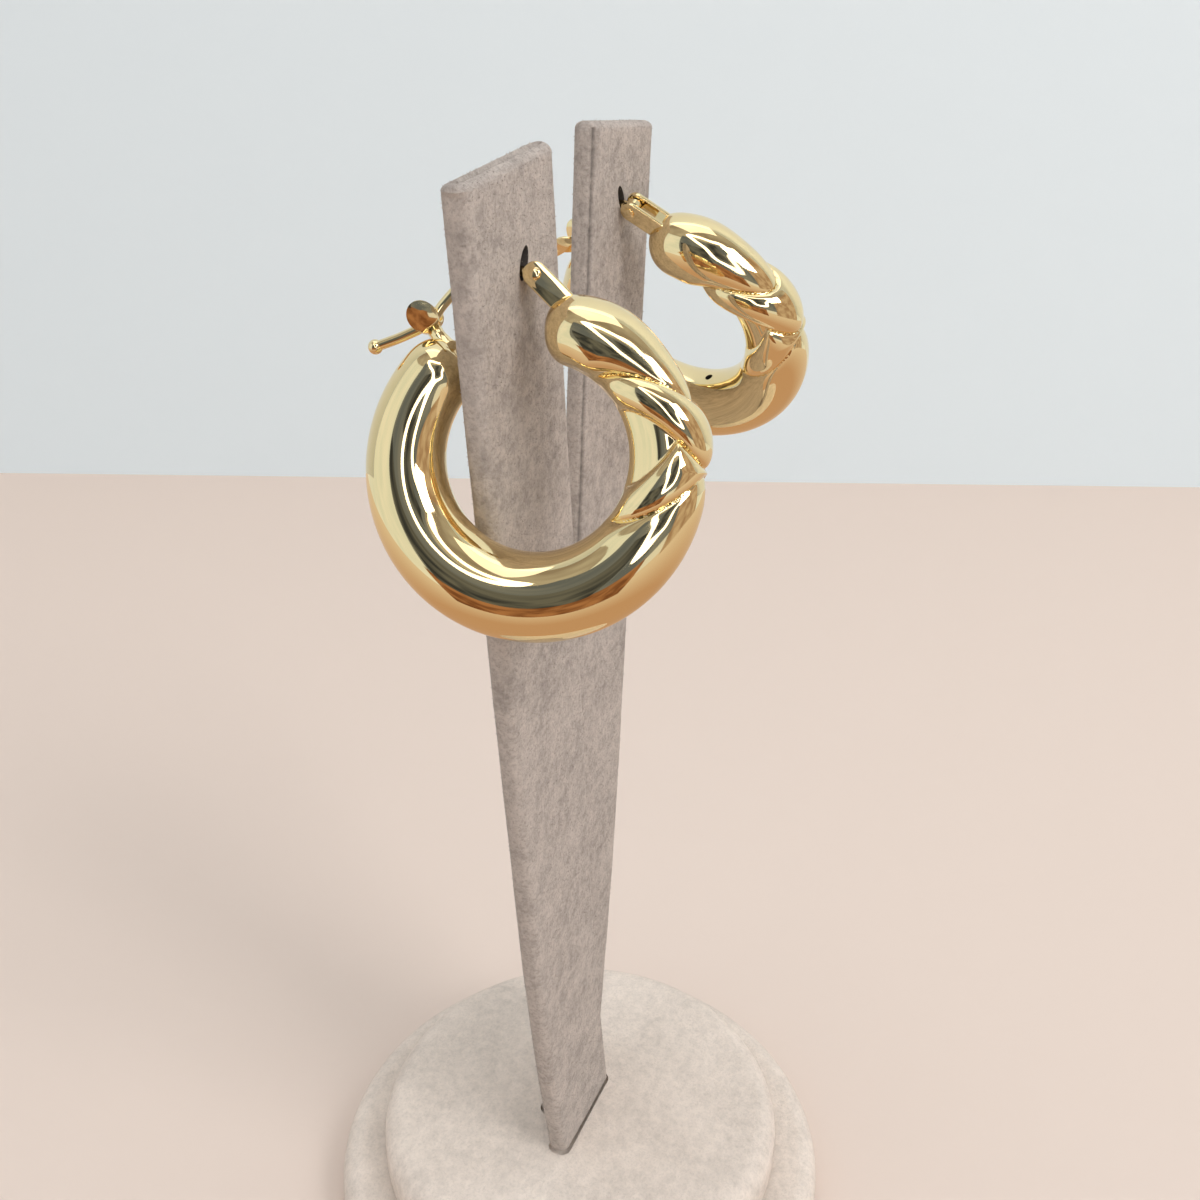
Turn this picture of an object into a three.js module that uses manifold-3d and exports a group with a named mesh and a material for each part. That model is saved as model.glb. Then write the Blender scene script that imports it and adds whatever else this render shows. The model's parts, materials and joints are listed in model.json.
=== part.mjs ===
// A pair of hollow gold hoop earrings with a knotted front, hanging on a two-board suede stand.
// Millimetres, +Z up, origin on the table at the centre of the round base.
// The boards spread along X, and the knotted fronts of the hoops face -Y.

import * as THREE from 'three';
import { mergeVertices } from 'three/addons/utils/BufferGeometryUtils.js';
import Module from 'manifold-3d';

const wasm = await Module();
wasm.setup();

// ---------------------------------------------------------------- driving dimensions

const DEG = Math.PI / 180;

const BASE = {
  lowerRadius: 36.8, // lower tier
  lowerHeight: 7.8,
  lowerRounding: 3.2,
  upperRadius: 30, // padded upper tier
  height: 15.5, // top of the upper tier above the table
  upperRounding: 3.4,
  tierGap: 0.3,
  underEdge: 0.8, // small chamfer where the base meets the table
};

const BOARD = {
  length: 139.5,
  thickness: 2.8,
  footWidth: 16,
  topWidth: 18.2,
  fullWidthAt: 0.6, // fraction of the length where the full width is reached
  bendEnds: 0.35, // fraction of the length where the foot bend has died out
  bend: 0.101, // extra lean at the very foot, radians
  corner: 1.1, // rounding of the long edges
  footGap: 0.3,
  holeRadius: 2.0,
  holeLift: 1.0, // the wire hangs near the lower edge of the hole
};

const HOOP = {
  ringRadius: 12.95, // centre line of the tube
  tubeBottom: 4.45, // tube radius at the bottom of the hoop
  tubeTaper: 0.6, // loss of radius a quarter turn away from the bottom
  frontEnd: 92, // ring angles in degrees: 0 faces front, 90 is up
  backEnd: -225,
  endLength: 15, // stretch over which each end closes, in degrees of ring angle
  endFullness: 2.6, // exponent of the closing curve: 2 is round, more is blunter
  wall: 0.5,
  ventRadius: 0.5,
  ventAngle: -74,
};

const KNOT = {
  slant: 33, // how far a band climbs from the outside to the inside of the hoop, degrees
  bandHalfWidth: 11.25,
  upperBand: 18.6, // ring angle of each band on the outside of the hoop
  lowerBand: 16,
  upperHeight: 0.65, // height over the plain tube
  lowerHeight: 0.4,
  lobeAngle: 69, // swelling of the lobe above the knot
  lobeHeight: 0.7,
  lobeSpread: 19,
  creaseDepth: 0.5, // below the plain tube
  facetDepth: 0.6,
  shoulder: 13, // degrees over which the plain tube rises out of a crease
  fadeFrom: 128, // tube angles between which the relief dies away on the inside
  fadeTo: 168,
};

const PIVOT = { u: -2.7, v: 17.6 }; // rivet centre in the plane of the hoop
const FORK = { radius: 1.2, thickness: 2.5, slot: 1.3, rootU: 0.5, rootV: 15.3 };
const RIVET = { radius: 0.4, headRadius: 0.62, headHeight: 0.22, clearance: 0.06 };
const WIRE = { radius: 0.5, eyeRadius: 0.92, eyeThickness: 0.9, ballRadius: 0.74 };

// Route of the ear wire in the plane of the hoop: over the arch, into the catch, out to the tip.
const WIRE_ROUTE = [
  { u: -2.7, v: 17.6 },
  { u: -4.3, v: 17.85 },
  { u: -6.4, v: 17.7 },
  { u: -8.4, v: 16.9 },
  { u: -10.2, v: 15.5 },
  { u: -11.5, v: 13.7 },
  { u: -12.65, v: 11.75 },
  { u: -14.9, v: 10.15 },
  { u: -17.7, v: 8.65 },
];

const CATCH = {
  u: -12.65, // where the wire lies in the saddle
  v: 11.75,
  facing: 135, // direction in which the saddle opens, degrees in the plane of the hoop
  cupRadius: 0.62,
  plate: 0.42,
  flare: 34, // how far each ear leans outwards, degrees
  rise: 2.3, // height of the ears over the wire
  outline: 1.75, // radius of the round outline of the ears
  stemRadius: 0.8,
  stemLength: 2.8,
};

// side is -1 for the hoop and board at -X, +1 for those at +X.
const PLACES = {
  left: { side: -1, lean: 0.107, foot: 2.8, faceFoot: -2.45, faceTop: -1.7,
    tilt: 22.8, turn: 11.6, spin: 0, pivot: [-18.1, -3.1, 144.0] },
  right: { side: 1, lean: 0.077, foot: 2.8, faceFoot: 1.6, faceTop: 2.0,
    tilt: 28, turn: 5, spin: 3.5, pivot: [15, 0.5, 145.5] },
};

const GRID = { around: 20, along: 64, cavityAround: 10, cavityAlong: 32, wire: 8, lathe: 48 };

// ---------------------------------------------------------------- materials

const suede = (color) => new THREE.MeshStandardMaterial({ color, roughness: 0.95, metalness: 0 });
const gold = () => new THREE.MeshStandardMaterial({ color: 0xe8c878, roughness: 0.12, metalness: 1 });

// ---------------------------------------------------------------- solids and booleans

function solidOf(geometry) {
  const bare = geometry.clone();
  bare.deleteAttribute('normal');
  bare.deleteAttribute('uv');
  const merged = mergeVertices(bare, 1e-5);
  return new wasm.Manifold(new wasm.Mesh({
    numProp: 3,
    vertProperties: Float32Array.from(merged.attributes.position.array),
    triVerts: Uint32Array.from(merged.index.array),
  }));
}

function geometryOf(solid) {
  const mesh = solid.getMesh();
  const geometry = new THREE.BufferGeometry();
  geometry.setAttribute('position', new THREE.BufferAttribute(mesh.vertProperties, 3));
  geometry.setIndex(new THREE.BufferAttribute(mesh.triVerts, 1));
  geometry.computeVertexNormals();
  return geometry;
}

// Skins a row of closed loops, all with the same number of points, and closes both ends.
function loft(loops) {
  const size = loops[0].length;
  const points = loops.flat();
  const faces = [];
  for (let row = 0; row + 1 < loops.length; row++) {
    for (let i = 0; i < size; i++) {
      const a = row * size + i;
      const b = row * size + ((i + 1) % size);
      faces.push(a, b, b + size, a, b + size, a + size);
    }
  }
  for (const [row, turned] of [[0, true], [loops.length - 1, false]]) {
    const centre = points.length;
    const middle = new THREE.Vector3();
    loops[row].forEach((p) => middle.addScaledVector(p, 1 / size));
    points.push(middle);
    for (let i = 0; i < size; i++) {
      const a = row * size + i;
      const b = row * size + ((i + 1) % size);
      faces.push(...(turned ? [centre, b, a] : [centre, a, b]));
    }
  }
  const geometry = new THREE.BufferGeometry().setFromPoints(points);
  geometry.setIndex(faces);
  return geometry;
}

function lathe(profile) {
  return new THREE.LatheGeometry(profile, GRID.lathe).rotateX(Math.PI / 2);
}

// ---------------------------------------------------------------- base

// Profile of a flat round pad: flat underside, rounded upper rim.
function padProfile(radius, bottom, top, rounding, underEdge) {
  const points = [
    new THREE.Vector2(0, bottom),
    new THREE.Vector2(radius - underEdge, bottom),
    new THREE.Vector2(radius, bottom + underEdge),
  ];
  const steps = 6;
  for (let i = 0; i <= steps; i++) {
    const angle = (i / steps) * (Math.PI / 2);
    const inset = rounding * (1 - Math.cos(angle));
    points.push(new THREE.Vector2(radius - inset, top - rounding * (1 - Math.sin(angle))));
  }
  points.push(new THREE.Vector2(0, top));
  return points;
}

function baseLower() {
  const { lowerRadius, lowerHeight, lowerRounding, underEdge } = BASE;
  return lathe(padProfile(lowerRadius, 0, lowerHeight, lowerRounding, underEdge));
}

function baseUpper() {
  const { upperRadius, lowerHeight, tierGap, height, upperRounding, underEdge } = BASE;
  return lathe(padProfile(upperRadius, lowerHeight + tierGap, height, upperRounding, underEdge));
}

// ---------------------------------------------------------------- boards

// Centre of a board at fraction s of its length, and its lean there.
function boardCentre(place, s) {
  const { length, bendEnds, bend, thickness, footGap } = BOARD;
  const bent = Math.min(s, bendEnds);
  const spread = place.lean * s + bend * (bent - (bent * bent) / (2 * bendEnds));
  const lean = place.lean + bend * (1 - bent / bendEnds);
  const face = THREE.MathUtils.lerp(place.faceFoot, place.faceTop, s);
  const centre = new THREE.Vector3(
    place.side * (place.foot + length * spread),
    face + thickness / 2,
    BASE.height + footGap + length * s * Math.cos(place.lean),
  );
  return { centre, lean: place.side * lean * Math.min(1, s / 0.04) };
}

function boardLoop(place, s) {
  const { centre, lean } = boardCentre(place, s);
  const { footWidth, topWidth, fullWidthAt, thickness, corner } = BOARD;
  const width = THREE.MathUtils.lerp(footWidth, topWidth, Math.min(1, s / fullWidthAt));
  const loop = [];
  for (const [cx, cy, start] of [[1, 1, 0], [-1, 1, 90], [-1, -1, 180], [1, -1, 270]]) {
    for (const step of [0, 30, 60, 90]) {
      const angle = (start + step) * DEG;
      const across = cx * (width / 2 - corner) + corner * Math.cos(angle);
      const deep = cy * (thickness / 2 - corner) + corner * Math.sin(angle);
      loop.push(new THREE.Vector3(
        centre.x + across * Math.cos(lean),
        centre.y + deep,
        centre.z - across * Math.sin(lean),
      ));
    }
  }
  return loop;
}

function board(place) {
  const stations = [0, 0.04, 0.1, 0.18, 0.26, 0.35, 0.48, 0.6, 0.8, 1];
  const slab = solidOf(loft(stations.map((s) => boardLoop(place, s))));
  const hole = wireAt(place, 1).lerp(wireAt(place, 2), 0.5);
  const punch = new THREE.CylinderGeometry(BOARD.holeRadius, BOARD.holeRadius, 12, 20);
  punch.translate(hole.x, 0, hole.z + BOARD.holeLift);
  const along = new THREE.Matrix4().makeTranslation(0, BOARD.thickness, 0);
  return geometryOf(slab.subtract(solidOf(punch.applyMatrix4(along))));
}

// ---------------------------------------------------------------- hoop placement

// Turns the plane of a hoop (u to the front, v up, n across) into the stand's frame.
function hoopMatrix({ side, tilt, turn, spin, pivot }) {
  const up = new THREE.Vector3(-side * Math.sin(tilt * DEG), 0, Math.cos(tilt * DEG));
  const out = new THREE.Vector3(Math.cos(tilt * DEG), 0, side * Math.sin(tilt * DEG));
  const front = new THREE.Vector3(0, -Math.cos(turn * DEG), 0);
  front.addScaledVector(out, -side * Math.sin(turn * DEG));
  const across = new THREE.Vector3().crossVectors(front, up);
  const matrix = new THREE.Matrix4().makeBasis(front, up, across);
  matrix.multiply(new THREE.Matrix4().makeRotationZ(spin * DEG));
  const offset = new THREE.Vector3(PIVOT.u, PIVOT.v, 0).applyMatrix4(matrix);
  return matrix.setPosition(new THREE.Vector3(...pivot).sub(offset));
}

// Where a point of the wire's route lies in the stand's frame.
function wireAt(place, index) {
  const { u, v } = WIRE_ROUTE[index];
  return new THREE.Vector3(u, v, 0).applyMatrix4(hoopMatrix(place));
}

// ---------------------------------------------------------------- hoop surface

const smoothstep = (x, from, to) => THREE.MathUtils.smoothstep(x, from, to);

// Height of a band whose centre is `offset` degrees away.
function bandHeight(offset, height) {
  const x = Math.abs(offset) / KNOT.bandHalfWidth;
  const rise = height + KNOT.creaseDepth;
  if (x > 1) return -KNOT.creaseDepth - (x - 1) * 2;
  return rise * Math.sqrt(1 - x * x) - KNOT.creaseDepth;
}

// Height of the plain tube `offset` degrees away from the crease where it starts.
function shoulderHeight(offset, crown) {
  if (offset < 0) return -KNOT.creaseDepth + offset * 0.2;
  const x = 1 - Math.min(1, offset / KNOT.shoulder);
  return crown - (crown + KNOT.creaseDepth) * (1 - Math.sqrt(1 - x * x));
}

// Relief of the knot over the plain tube. ring and tube are angles in degrees. The lower band
// dives under the upper one.
function knotHeight(ring, tube) {
  const climb = (KNOT.slant * (1 - Math.cos(tube * DEG))) / 2;
  const upper = KNOT.upperBand + climb;
  const lower = KNOT.lowerBand - climb;
  const lobe = KNOT.lobeHeight * Math.exp(-(((ring - KNOT.lobeAngle) / KNOT.lobeSpread) ** 2));
  const under = shoulderHeight(upper - KNOT.bandHalfWidth - ring, KNOT.lowerHeight);
  const relief = Math.max(
    shoulderHeight(ring - upper - KNOT.bandHalfWidth, lobe),
    bandHeight(ring - upper, KNOT.upperHeight),
    Math.min(bandHeight(ring - lower, KNOT.lowerHeight), under),
    shoulderHeight(lower - KNOT.bandHalfWidth - ring, 0),
    -KNOT.facetDepth,
  );
  const inside = Math.abs(THREE.MathUtils.euclideanModulo(tube + 180, 360) - 180);
  return relief * (1 - smoothstep(inside, KNOT.fadeFrom, KNOT.fadeTo));
}

function plainRadius(ring) {
  const fromBottom = (ring + 90) * DEG;
  return HOOP.tubeBottom - HOOP.tubeTaper * (1 - Math.cos(fromBottom));
}

// Share of the full radius that is left near either end of the tube.
function endShare(ring) {
  const left = Math.min(HOOP.frontEnd - ring, ring - HOOP.backEnd);
  const x = 1 - Math.min(1, Math.max(0, left / HOOP.endLength));
  return (1 - x ** HOOP.endFullness) ** (1 / HOOP.endFullness);
}

function ringPoint(ring, tube, radius) {
  const reach = HOOP.ringRadius + radius * Math.cos(tube * DEG);
  return new THREE.Vector3(
    reach * Math.cos(ring * DEG),
    reach * Math.sin(ring * DEG),
    radius * Math.sin(tube * DEG),
  );
}

// Closed tube along the ring, thinner than the real surface by `inset`.
function ringTube(inset, along, around) {
  const margin = (inset / HOOP.ringRadius / DEG) * 1.6;
  const start = HOOP.frontEnd - margin;
  const span = HOOP.frontEnd - HOOP.backEnd - 2 * margin;
  const loops = [];
  for (let i = 1; i < along; i++) {
    const t = i / along;
    const eased = t - (0.5 / (2 * Math.PI)) * Math.sin(2 * Math.PI * t);
    const ring = start - span * eased;
    const loop = [];
    for (let j = 0; j < around; j++) {
      const tube = (j / around) * 360;
      const full = (plainRadius(ring) + knotHeight(ring, tube)) * endShare(ring);
      loop.push(ringPoint(ring, tube, Math.max(full - inset, 0.15)));
    }
    loops.push(loop);
  }
  return loft(loops);
}

// ---------------------------------------------------------------- hoop

// Flat plate with two round ends, standing across the plane of the hoop.
function stadium(from, to, radius, thickness) {
  const angle = Math.atan2(to.v - from.v, to.u - from.u);
  const length = Math.hypot(to.u - from.u, to.v - from.v);
  const shape = new THREE.Shape();
  shape.absarc(0, 0, radius, Math.PI / 2, 1.5 * Math.PI, false);
  shape.absarc(length, 0, radius, -Math.PI / 2, Math.PI / 2, false);
  const options = { depth: thickness, bevelEnabled: false, curveSegments: 8 };
  const plate = new THREE.ExtrudeGeometry(shape, options);
  return plate.translate(0, 0, -thickness / 2).rotateZ(angle).translate(from.u, from.v, 0);
}

// Cylinder across the plane of the hoop, centred on (u, v).
function crossPin(u, v, radius, length) {
  const pin = new THREE.CylinderGeometry(radius, radius, length, 16);
  return pin.rotateX(Math.PI / 2).translate(u, v, 0);
}

function fork() {
  const root = { u: FORK.rootU, v: FORK.rootV };
  const direction = Math.atan2(PIVOT.v - root.v, PIVOT.u - root.u);
  const cheeks = solidOf(stadium(root, PIVOT, FORK.radius, FORK.thickness));
  const reach = 4;
  const slot = new THREE.BoxGeometry(reach, reach, FORK.slot);
  slot.translate(reach / 2 - FORK.radius, 0, 0).rotateZ(direction).translate(PIVOT.u, PIVOT.v, 0);
  const bore = crossPin(PIVOT.u, PIVOT.v, RIVET.radius + RIVET.clearance, FORK.thickness + 1);
  return { cheeks, slot: solidOf(slot), bore: solidOf(bore) };
}

// Saddle with two flared, round ears on a short stem. Built facing +Y with the wire along X.
function catchSaddle() {
  const { cupRadius, plate, flare, rise, outline, stemRadius, stemLength, facing } = CATCH;
  const side = (radius, sign) => {
    const angle = flare * DEG;
    const foot = new THREE.Vector2(sign * radius * Math.cos(angle), -radius * Math.sin(angle));
    const top = new THREE.Vector2(foot.x + sign * rise * Math.tan(angle), rise);
    return { foot, top };
  };
  const outer = cupRadius + plate;
  const shape = new THREE.Shape();
  shape.moveTo(side(cupRadius, 1).top.x, rise);
  shape.absarc(0, 0, cupRadius, -flare * DEG, (flare - 180) * DEG, true);
  shape.lineTo(side(cupRadius, -1).top.x, rise);
  shape.lineTo(side(outer, -1).top.x, rise);
  shape.absarc(0, 0, outer, (flare + 180) * DEG, (360 - flare) * DEG, false);
  shape.lineTo(side(outer, 1).top.x, rise);
  const depth = 2 * outline;
  const trough = new THREE.ExtrudeGeometry(shape, { depth, bevelEnabled: false, curveSegments: 6 });
  trough.translate(0, 0, -outline).rotateY(Math.PI / 2);
  const round = new THREE.CylinderGeometry(outline, outline, 12, 24).rotateX(Math.PI / 2);
  round.translate(0, 0.45, 0);
  const stem = new THREE.CylinderGeometry(stemRadius, stemRadius, stemLength, 12);
  stem.translate(0, -cupRadius - plate / 2 - stemLength / 2, 0);
  const turned = new THREE.Matrix4().makeRotationZ((facing - 90) * DEG);
  turned.setPosition(CATCH.u, CATCH.v, 0);
  const cup = solidOf(trough).intersect(solidOf(round)).add(solidOf(stem));
  return solidOf(geometryOf(cup).applyMatrix4(turned));
}

// Small drain hole through the inner wall, beside the bottom of the hoop.
function vent() {
  const hole = new THREE.CylinderGeometry(HOOP.ventRadius, HOOP.ventRadius, 4, 10);
  hole.rotateZ((HOOP.ventAngle - 90) * DEG);
  return solidOf(hole.translate(...ringPoint(HOOP.ventAngle, 180, HOOP.tubeBottom).toArray()));
}

function hoop() {
  const { cheeks, slot, bore } = fork();
  const skin = solidOf(ringTube(0, GRID.along, GRID.around));
  const cavity = solidOf(ringTube(HOOP.wall, GRID.cavityAlong, GRID.cavityAround));
  const fittings = cheeks.subtract(slot).subtract(bore).add(catchSaddle());
  return skin.add(fittings).subtract(cavity).subtract(vent());
}

// ---------------------------------------------------------------- ear wire and rivet

function earWire() {
  const points = WIRE_ROUTE.map(({ u, v }) => new THREE.Vector3(u, v, 0));
  const path = new THREE.CatmullRomCurve3(points, false, 'centripetal');
  const section = new THREE.Shape().absarc(0, 0, WIRE.radius, 0, 2 * Math.PI, false);
  const options = { steps: 26, extrudePath: path, bevelEnabled: false, curveSegments: GRID.wire };
  const rod = solidOf(new THREE.ExtrudeGeometry(section, options));
  const tip = points[points.length - 1];
  const ball = new THREE.SphereGeometry(WIRE.ballRadius, 12, 8).translate(tip.x, tip.y, 0);
  const eye = crossPin(PIVOT.u, PIVOT.v, WIRE.eyeRadius, WIRE.eyeThickness);
  const hole = crossPin(PIVOT.u, PIVOT.v, RIVET.radius + RIVET.clearance, 3);
  return rod.add(solidOf(ball)).add(solidOf(eye)).subtract(solidOf(hole));
}

// Rivet with a low head outside each cheek of the fork.
function rivet() {
  const { radius, headRadius, headHeight, clearance } = RIVET;
  const half = FORK.thickness / 2 + clearance;
  const profile = [
    [0, -half - headHeight],
    [headRadius * 0.7, -half - headHeight],
    [headRadius, -half],
    [radius, -half],
    [radius, half],
    [headRadius, half],
    [headRadius * 0.7, half + headHeight],
    [0, half + headHeight],
  ].map(([r, z]) => new THREE.Vector2(r, z));
  const pin = new THREE.LatheGeometry(profile, 16).rotateX(Math.PI / 2);
  return solidOf(pin.translate(PIVOT.u, PIVOT.v, 0));
}

// ---------------------------------------------------------------- assembly

function named(name, geometry, material, matrix) {
  const mesh = new THREE.Mesh(geometry, material);
  mesh.name = name;
  if (matrix) matrix.decompose(mesh.position, mesh.quaternion, mesh.scale);
  return mesh;
}

const model = new THREE.Group();
model.add(named('base_lower', baseLower(), suede(0xd2c2b2)));
model.add(named('base_upper', baseUpper(), suede(0xd2c2b2)));

const shapes = { hoop: geometryOf(hoop()), wire: geometryOf(earWire()), rivet: geometryOf(rivet()) };
for (const [key, place] of Object.entries(PLACES)) {
  const matrix = hoopMatrix(place);
  model.add(named(`board_${key}`, board(place), suede(0xa3938c)));
  model.add(named(`hoop_${key}`, shapes.hoop.clone(), gold(), matrix));
  model.add(named(`ear_wire_${key}`, shapes.wire.clone(), gold(), matrix));
  model.add(named(`hinge_rivet_${key}`, shapes.rivet.clone(), gold(), matrix));
}

export default model;
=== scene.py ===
import json
import math

import bmesh
import bpy
import numpy as np
from bpy.props import FloatProperty, FloatVectorProperty, IntProperty, PointerProperty
from mathutils import Matrix, Vector, noise


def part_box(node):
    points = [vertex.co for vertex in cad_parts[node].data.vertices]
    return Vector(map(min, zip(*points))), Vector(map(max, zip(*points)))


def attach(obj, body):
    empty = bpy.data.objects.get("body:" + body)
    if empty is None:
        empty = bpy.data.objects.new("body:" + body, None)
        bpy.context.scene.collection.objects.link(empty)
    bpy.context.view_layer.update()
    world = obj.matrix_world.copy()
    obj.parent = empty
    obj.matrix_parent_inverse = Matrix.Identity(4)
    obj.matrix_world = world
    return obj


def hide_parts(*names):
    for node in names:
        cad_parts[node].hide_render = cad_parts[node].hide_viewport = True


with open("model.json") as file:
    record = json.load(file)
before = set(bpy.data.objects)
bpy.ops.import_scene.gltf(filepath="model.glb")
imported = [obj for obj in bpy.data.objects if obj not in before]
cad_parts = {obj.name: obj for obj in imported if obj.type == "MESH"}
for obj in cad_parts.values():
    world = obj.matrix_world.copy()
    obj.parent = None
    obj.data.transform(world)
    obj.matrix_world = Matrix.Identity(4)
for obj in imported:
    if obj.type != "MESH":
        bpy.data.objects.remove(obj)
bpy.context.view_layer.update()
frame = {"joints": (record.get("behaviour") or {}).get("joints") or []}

bl_info = {
    "name": "Hoop earrings on a suede stand",
    "version": (1, 0, 0),
    "blender": (4, 5, 0),
    "location": "View3D > Sidebar > Earrings",
    "description": "Knotted gold hoops with hinged ear wires, hung on two suede boards",
    "category": "Add Mesh",
}

MM = 0.001
SIDES = ("left", "right")

# Ring angles in degrees: 0 faces front, 90 is up. Tube angles: 0 is the outside of the hoop.
FRONT_END = 94.5
BACK_END = -225
END_LENGTH = 15
END_FULLNESS = 2.6  # 2 would close the tube in a half round, more is blunter
KNOT_FOOT = -36  # the knot's relief has died out below this ring angle

UPPER_BAND = 18.6  # ring angle of each band on the outside of the hoop
LOWER_BAND = 16.0
BAND_HALF_WIDTH = 11.25
BAND_SLANT = 33  # how far a band climbs on its way to the inside of the hoop
SHOULDER = 13  # stretch over which the plain tube rises out of a crease
LOBE_ANGLE = 69  # swelling above the knot
LOBE_SPREAD = 19
FADE = (128, 168)  # tube angles between which the relief dies away on the inside
CREASE_ROUNDING = 0.1 * MM
VENT_ANGLE = -74
VENT_RADIUS = 0.5 * MM
VENT_DEPTH = 2.2 * MM

# In the plane of a hoop, u points to the front and v up; all in millimetres.
PIVOT = (-2.7, 17.6)
HOOP_SPIN = {"left": 0.0, "right": 3.5}  # how far each hoop is turned in its own plane, degrees
FORK_ROOT = (0.5, 15.3)
FORK_RADIUS = 1.2
FORK_THICKNESS = 2.5
FORK_SLOT = 1.3
EYE_THICKNESS = 0.9
RIVET_CLEARANCE = 0.06
RIVET_HEAD = (0.62, 0.24)  # radius and rise
CATCH = (-12.65, 11.75)
CATCH_FACING = 135  # direction in which the saddle opens, degrees
WIRE_ROUTE = [
    (-2.7, 17.6),
    (-4.3, 17.85),
    (-6.4, 17.7),
    (-8.4, 16.9),
    (-10.2, 15.5),
    (-11.5, 13.7),
    (-12.65, 11.75),
    (-14.9, 10.15),
    (-17.7, 8.65),
]

# One row for each board: side, lean of the board, its front face at the foot and at the top (mm).
BOARDS = {
    "left": {"side": -1, "lean": 0.107, "face_foot": -2.45, "face_top": -1.7},
    "right": {"side": 1, "lean": 0.077, "face_foot": 1.6, "face_top": 2.0},
}
BOARD_ROWS = 230  # rows of the cover along a board, and round its closed end
BOARD_END_ROWS = 9
BOARD_END_INSET = (0.594, 1.32)  # how far the end closes in, across and through the board
BOARD_END_DROP = 0.8
BOARD_LENGTH = 139.5
BOARD_THICKNESS = 2.8
BOARD_CORNER = 1.1
BOARD_FOOT = 2.8  # how far each foot stands off the middle
BOARD_WIDTHS = (16.0, 18.2)  # at the foot, and from FULL_WIDTH_AT of the length upwards
FULL_WIDTH_AT = 0.6
BEND = 0.101  # extra lean at the very foot, radians
BEND_ENDS = 0.35
HOLE_HALF = (0.8, 1.7)  # the slit in the cover, across the wire and along its swing
HOLE_LIFT = 0.8  # the wire hangs near the lower end of the slit
FOOT_GAP = 0.3
SLIT_GAP = 0.3  # gap round the foot of a board in the top of the base
SLIT_DEPTH = 1.2

CAMERA_PLACE = (-126.16, -56.47, 169.30)
CAMERA_TURN = (0.406, 0.461, 0.012)  # to the left of +X, down, and about its own axis, radians
BACKDROP_DISTANCE = 0.443  # ahead of the camera, metres
CARD_SIZE = 6
WALL_HEIGHT = 3


def linear(code):
    """A colour given as sRGB hex, in the linear values that Blender's sockets take."""
    parts = [int(code[i : i + 2], 16) / 255 for i in (1, 3, 5)]
    return [c / 12.92 if c <= 0.04045 else ((c + 0.055) / 1.055) ** 2.4 for c in parts]


# ---------------------------------------------------------------- settings


def size_setting(label, text, millimetres, **limits):
    return FloatProperty(name=label, description=text, default=millimetres * MM, unit="LENGTH", **limits)


def color_setting(label, text, code):
    return FloatVectorProperty(
        name=label, description=text, subtype="COLOR", default=linear(code), min=0, max=1)


class HoopSettings(bpy.types.PropertyGroup):
    ring_radius: size_setting("Ring radius", "Radius of the tube's centre line", 12.95, min=8 * MM)
    tube_radius: size_setting("Tube radius", "Radius of the tube at the bottom of the hoop", 4.45, min=MM)
    tube_taper: size_setting("Taper", "Radius that the tube loses a quarter turn away from the bottom", 0.6)
    upper_height: size_setting("Upper band", "Height of the upper band over the plain tube", 0.65)
    lower_height: size_setting("Lower band", "Height of the lower band over the plain tube", 0.4)
    lobe_height: size_setting("Lobe", "Swelling of the tube above the knot", 0.7)
    crease_depth: size_setting("Crease depth", "Depth of the creases below the plain tube", 0.5)
    gold: color_setting("Gold", "Colour of the polished gold", "#F8E2AE")


class WireSettings(bpy.types.PropertyGroup):
    radius: size_setting("Wire radius", "Radius of the round ear wire", 0.5)
    ball: size_setting("Ball radius", "Radius of the ball on the wire's tip", 0.74)
    eye: size_setting("Eye radius", "Radius of the flattened eye in the hinge", 0.92)
    rivet: size_setting("Rivet radius", "Radius of the hinge rivet's shaft", 0.4)


class SuedeSettings(bpy.types.PropertyGroup):
    board_color: color_setting("Boards", "Colour of the suede on the boards", "#B0A59D")
    base_color: color_setting("Base", "Colour of the suede on the base", "#E2D4C8")
    nap_length: size_setting("Nap length", "Length of the loose fibres that stand off the suede", 0.26)
    nap_width: size_setting("Nap width", "Width of a fibre at its root", 0.045)
    nap_density: FloatProperty(
        name="Nap density", description="Loose fibres on each square millimetre",
        default=3.2, min=0)
    seed: IntProperty(name="Seed", description="Seed of the nap's scatter", default=7)


class StageSettings(bpy.types.PropertyGroup):
    floor_color: color_setting("Floor", "Colour of the floor", "#E2D0C4")
    wall_color: color_setting("Backdrop", "Colour of the backdrop", "#E2EBEF")
    lens: FloatProperty(
        name="Lens", description="Focal length of the camera, millimetres", default=37.38)
    daylight: FloatProperty(
        name="Daylight", description="Strength of the even light of the room", default=0.87, min=0)
    key: FloatProperty(
        name="Key light", description="Power of the soft box on the right", default=4.6, min=0)


# ---------------------------------------------------------------- meshes


def mesh_from(name, points, faces, smooth=True):
    mesh = bpy.data.meshes.new(name)
    mesh.from_pydata([tuple(p) for p in points], [], faces)
    mesh.update()
    if smooth:
        mesh.shade_smooth()
    return mesh


def object_from(mesh, name=None):
    piece = bpy.data.objects.new(name or mesh.name, mesh)
    bpy.context.scene.collection.objects.link(piece)
    return piece


def skin_faces(rows, around, first=0):
    """Quads between `rows` closed loops of `around` points each."""
    faces = []
    for row in range(rows - 1):
        for i in range(around):
            a, b = first + row * around + i, first + row * around + (i + 1) % around
            faces.append((a, b, b + around, a + around))
    return faces


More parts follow.
